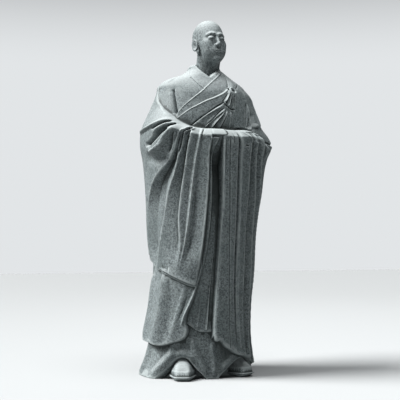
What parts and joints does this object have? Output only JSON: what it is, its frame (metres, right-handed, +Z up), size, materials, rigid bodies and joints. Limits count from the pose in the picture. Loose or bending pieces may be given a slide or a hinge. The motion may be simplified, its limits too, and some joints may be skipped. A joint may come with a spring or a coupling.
{
  "type": "standing monk statue",
  "caption": "Life-size standing figure of a shaven-headed monk in layered robes, hands joined under long sleeves, carved in one block and cut flat below.",
  "frame": {"origin": "on the flat underside, at the figure's upright axis", "axes": "+Z up, -Y the way the figure's chest faces, +X to the figure's left"},
  "size_m": [0.762, 0.6113, 1.9914],
  "materials": {
    "stone": "grey-green granite, finely pecked all over, paler where it faces the sky and nearly black in the deep folds"
  },
  "bodies": {
    "root": {"monk_figure": "stone"}
  },
  "joints": []
}
